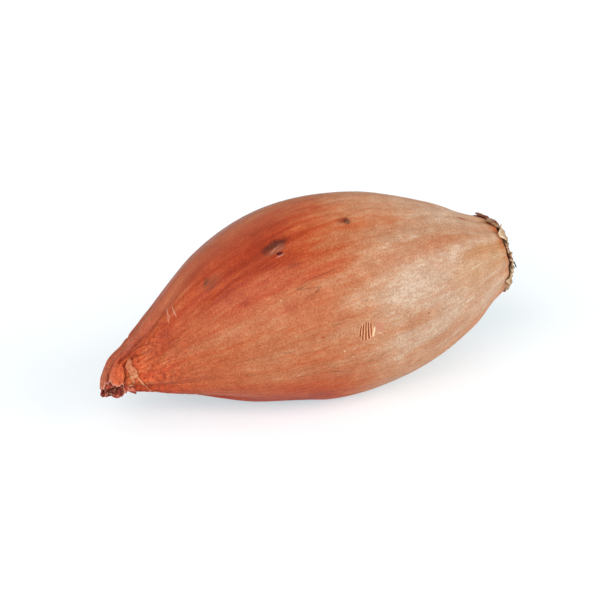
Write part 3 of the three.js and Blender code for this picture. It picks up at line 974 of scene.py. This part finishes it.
def tornStripMaterial():
    material, tree = newMaterial("tornPaperyFilm")
    spot = addNode(tree, "TexCoord", output="Object")
    pale = addNode(tree, "Attribute", attribute_name="pale", output="Fac")
    fibres = addNode(tree, "TexNoise", {
        "Vector": spot, "Scale": tornStrip["fibreScale"], "Detail": 3.0,
    }, output="Fac")
    tone = addNode(tree, "Math", fibres, pale, operation="ADD")
    colour = addNode(tree, "ValToRGB", tone, stops=tornStrip["colours"])
    dullSurface(tree, colour, fibres, tornStrip)
    return material


def alongBand(band, t):
    # what a band's numbers are at a part of the way along it
    whole = t * (len(band) - 1)
    i = min(int(whole), len(band) - 2)
    part = whole - i
    return [a + (b - a) * part for a, b in zip(band[i], band[i + 1])]


def overSkin(share, angle, lift):
    cut = section(share)
    base = relief(share, angle)
    place = outFrom(cut, angle, base)
    fine = fineRelief(share, angle, place, cut[4], creasesAt(share))[0]
    return outFrom(cut, angle, base + max(fine, 0) + lift)


def makeTornStrip():
    shape = newShape()
    pales = []
    rows, columns = 40, 12
    for number, band in enumerate(tornStrip["bands"]):

        def place(u, v):
            share, degrees, halfWidth, lift = alongBand(band, v)[:4]
            ahead = alongBand(band, min(v + 0.05, 1))
            behind = alongBand(band, max(v - 0.05, 0))
            radius = atShare(4, share)
            goAlong = (ahead[0] - behind[0]) * bulb["length"]
            goRound = math.radians(ahead[1] - behind[1]) * radius
            step = math.hypot(goAlong, goRound)
            ragged = 1 + 0.45 * noise.noise(Vector((7 * v, number + 0.5, 1.5 * u)))
            side = (2 * u - 1) * halfWidth * ragged
            share += side * goRound / step / bulb["length"]
            angle = math.radians(degrees) - side * goAlong / step / radius
            curl = lift + 0.25 * (2 * u - 1) ** 2 * min(halfWidth, 0.6)
            return overSkin(share, angle, curl)

        addSheet(shape, rows, columns, place, tornStrip["thickness"])
        for face in range(2):
            for i in range(rows):
                pales += [alongBand(band, i / (rows - 1))[4]] * columns
    addPiece("tornPaperyStrip", shape, [tornStripMaterial()], "torn_skin",
             {"pale": pales})


makeTornStrip()
print("torn strip made")

# Ragged collar round the root plate: the dry bases of older skins. Paper-like, tan and fibrous out
# to their torn edges, dark brown and dull near their bases: browner old tissue with painted shade
# of the gap under them.
collar = {
    "inner": 4.9,
    "outer": 6.2,
    "height": 1.3,
    "spread": 0.52,  # how fast the skin widens away from the end
    "scales": [
        # degrees round, span, edge radius, rise off the end, reach back over the skin, paleness
        (-62, 40, 8.9, 0.5, 0.6, 0.1), (-30, 38, 8.7, 0.4, 2.4, -0.2),
        (-4, 30, 8.6, 0.3, 2.9, -0.25), (14, 24, 8.7, 0.5, 2.2, -0.1),
        (5, 44, 8.1, 0.9, 0.4, 0.15), (33, 30, 9.0, 0.7, 1.6, 0.25),
        (58, 26, 8.4, 0.5, 0.4, 0.0), (80, 30, 8.2, 0.7, 0.2, 0.08),
        (104, 26, 8.8, 0.4, 1.3, 0.2), (128, 26, 8.5, 0.5, 0.8, 0.0),
        (152, 30, 8.3, 0.6, 0.3, 0.0), (186, 38, 8.6, 0.8, 0.4, 0.1),
        (222, 40, 9.0, 0.6, 0.9, 0.1), (258, 36, 8.2, 1.2, 0.2, 0.2),
        (284, 34, 8.8, 0.7, 0.5, 0.1),
    ],
    "crumple": 0.5,
    "thread": {"degrees": 81, "length": 1.4, "radius": 0.2, "from": 7.6, "beyond": 1.3},
    "thickness": 0.2,
    "colours": [
        (0.12, "#32110A"), (0.34, "#5C2412"), (0.5, "#7A4630"),
        (0.66, "#8F6E54"), (0.82, "#AE9070"), (0.98, "#C8B090"),
    ],
}


# Dry scale and cork: fibres run out from the plate, and the surface is dull and rough
dryScale = {
    "patchScale": 700.0,  # patches about 1.4 mm
    "fibreScale": (300, 1500, 1500),  # 0.7 mm by 3 mm, coarser than real fibres so that they show
    "bump": (0.5, 0.2),  # strength, mm
    "roughness": 0.8,
    "ior": 1.45,
    "gloss": 0.3,
}


def scaleMaterial(name, stops, useRag=False):
    material, tree = newMaterial(name)
    spot = addNode(tree, "TexCoord", output="Object")
    stretched = addNode(tree, "Mapping", {"Vector": spot, "Scale": dryScale["fibreScale"]})
    patches = addNode(tree, "TexNoise", {
        "Vector": spot, "Scale": dryScale["patchScale"], "Detail": 4.0,
    }, output="Fac")
    fibres = addNode(tree, "TexNoise", {
        "Vector": stretched, "Scale": 1.0, "Detail": 3.0,
    }, output="Fac")
    tone = addNode(tree, "Math", fibres, 0.4, operation="MULTIPLY")
    tone = addNode(tree, "Math", patches, 0.6, tone, operation="MULTIPLY_ADD")
    # the darker base of each ragged scale is partly painted shade
    if useRag:  # how far out on the ragged scale, where it is paler
        rag = addNode(tree, "Attribute", attribute_name="rag", output="Fac")
        rag = addNode(tree, "Math", rag, 0.6, operation="SUBTRACT")
        tone = addNode(tree, "Math", tone, 1.2, rag, operation="MULTIPLY_ADD")
    dullSurface(tree, addNode(tree, "ValToRGB", tone, stops=stops), fibres, dryScale)
    return material


def makeCollar():
    shape = newShape()
    rags = []
    sides = 150
    inner, outer, height = collar["inner"], collar["outer"], collar["height"]
    ring = [(inner, 0.3), (inner + 0.2, height), (outer - 0.4, height), (outer, 0.8), (outer, 0.3)]
    for radius, beyond in ring:
        for j in range(sides):
            angle = 2 * math.pi * j / sides
            rough = 0.2 * noise.noise(Vector((6 * math.sin(angle), 6 * math.cos(angle), radius)))
            rise = rough if beyond > 0.5 else 0
            shape["points"].append(atEnd(rootCut, beyond + rise, radius + rough, angle))
    last = (len(ring) - 1) * sides
    shape["faces"] += gridFaces(len(ring), sides, True)
    for j in range(sides):
        k = (j + 1) % sides
        shape["faces"].append((j, last + j, last + k, k))
    rags += [0.15] * len(shape["points"])
    rows, columns = 20, 44
    for index, (degrees, span, edge, rise, back, pale) in enumerate(collar["scales"]):
        root = inner + 0.8 + 0.2 * (index % 2)
        laidBack = back > 2

        def place(u, v):
            angle = math.radians(degrees + (u - 0.5) * span)
            tears = 0.12 * math.sin(5 * u + 2 * index)
            tears += 0.26 * noise.noise(Vector((5 * u, index * 7.7, 0)))
            tears += 0.1 * noise.noise(Vector((19 * u, index * 7.7, 5)))
            if laidBack:
                tears *= 2
            way = v * (1 - 0.45 * abs(2 * u - 1) ** 2 + tears)
            ripple = collar["crumple"] * noise.noise(Vector((7 * u, 3 * v, index * 4.3))) * v
            beyond = 0.5 + rise * math.sin(min(math.pi * way, 2.2)) + ripple
            beyond -= (back + 0.3) * fade(0.4, 1.15, way)
            radius = root + (edge - root) * fade(-0.25, 0.85, way) + ripple
            radius += collar["spread"] * max(-beyond, 0)
            return atEnd(rootCut, beyond, radius + (0.3 * v if laidBack else 0), angle)

        addSheet(shape, rows, columns, place, collar["thickness"])
        # darker at each scale's base and paler out to its torn edge: browner old tissue with
        # painted shade of the gap under it
        for face in range(2):
            for i in range(rows):
                for j in range(columns):
                    rags.append(0.05 + pale + 0.7 * math.sqrt(i / (rows - 1)))
    thread = collar["thread"]
    path, radii = [], []
    for step in range(9):
        t = step / 8
        radius = thread["from"] + thread["length"] * t - 0.5 * t * t
        turn = math.radians(thread["degrees"]) + 0.14 * t * t
        path.append(atEnd(rootCut, thread["beyond"] + 0.25 * t, radius, turn))
        radii.append(thread["radius"] * (1 - 0.06 * step))
    addTube(shape, path, radii, 7)
    rags += [0.0] * (len(shape["points"]) - len(rags))
    material = scaleMaterial("raggedPaperyScale", collar["colours"], True)
    addPiece("raggedRootCollar", shape, [material], "root_collar",
             {"rag": rags})


makeCollar()
print("collar made")

# Root plate: a corky disc, dull and pale brown, with the brittle stubs of the roots.
rootDisc = {
    "radius": 4.55,
    "height": 1.3,
    "floor": -0.15,
    "stubs": 90,
    "stubRadius": 0.16,
    "corkColours": [(0.36, "#3E2716"), (0.5, "#7A6245"), (0.66, "#9A7F59")],
    "stubColours": [(0.36, "#684C2F"), (0.52, "#9E845C"), (0.68, "#B8A27C")],
}


def makeRootPlate():
    shape = newShape()
    sides, rings = 72, 14
    floor, height = rootDisc["floor"], rootDisc["height"]
    shares = [(0.02, floor), (1.0, floor), (1.0, 0.6), (0.96, height - 0.15)]
    shares += [(1 - i / rings, height) for i in range(1, rings)] + [(0.01, height)]
    for part, beyond in shares:
        for j in range(sides):
            angle = 2 * math.pi * j / sides
            at = Vector((part * 5 * math.sin(angle), part * 5 * math.cos(angle), 0))
            rough = 0.35 * noise.noise(at) + 0.2 * noise.noise(at * 2.7) if beyond > 0.5 else 0
            shape["points"].append(atEnd(rootCut, beyond + rough, part * rootDisc["radius"], angle))
    shape["faces"] = [tuple(reversed(face)) for face in tubeFaces(len(shares), sides)]
    shape["sides"] = [0] * len(shape["faces"])
    for i in range(rootDisc["stubs"]):
        turn = math.radians(137.5 * i)
        radius = (rootDisc["radius"] - 0.3) * math.sqrt((i + 0.5) / rootDisc["stubs"])
        length = 1.1 + 0.8 * math.cos(1.9 * i)
        bend = 0.7 * math.cos(2.7 * i)
        path, radii = [], []
        for step in range(7):
            t = step / 6
            lean = t * t * bend
            beyond = height - 0.3 + (length + 0.3) * t
            path.append(atEnd(rootCut, beyond, radius + lean * 0.7, turn + lean * 0.25))
            radii.append(rootDisc["stubRadius"] * (1.25 - 0.65 * t))
        addTube(shape, path, radii, 6, 1)
    materials = [
        scaleMaterial("corkyRootPlate", rootDisc["corkColours"]),
        scaleMaterial("driedRootStubs", rootDisc["stubColours"]),
    ]
    addPiece("corkyRootPlate", shape, materials, "root_plate")


makeRootPlate()
print("root plate made")
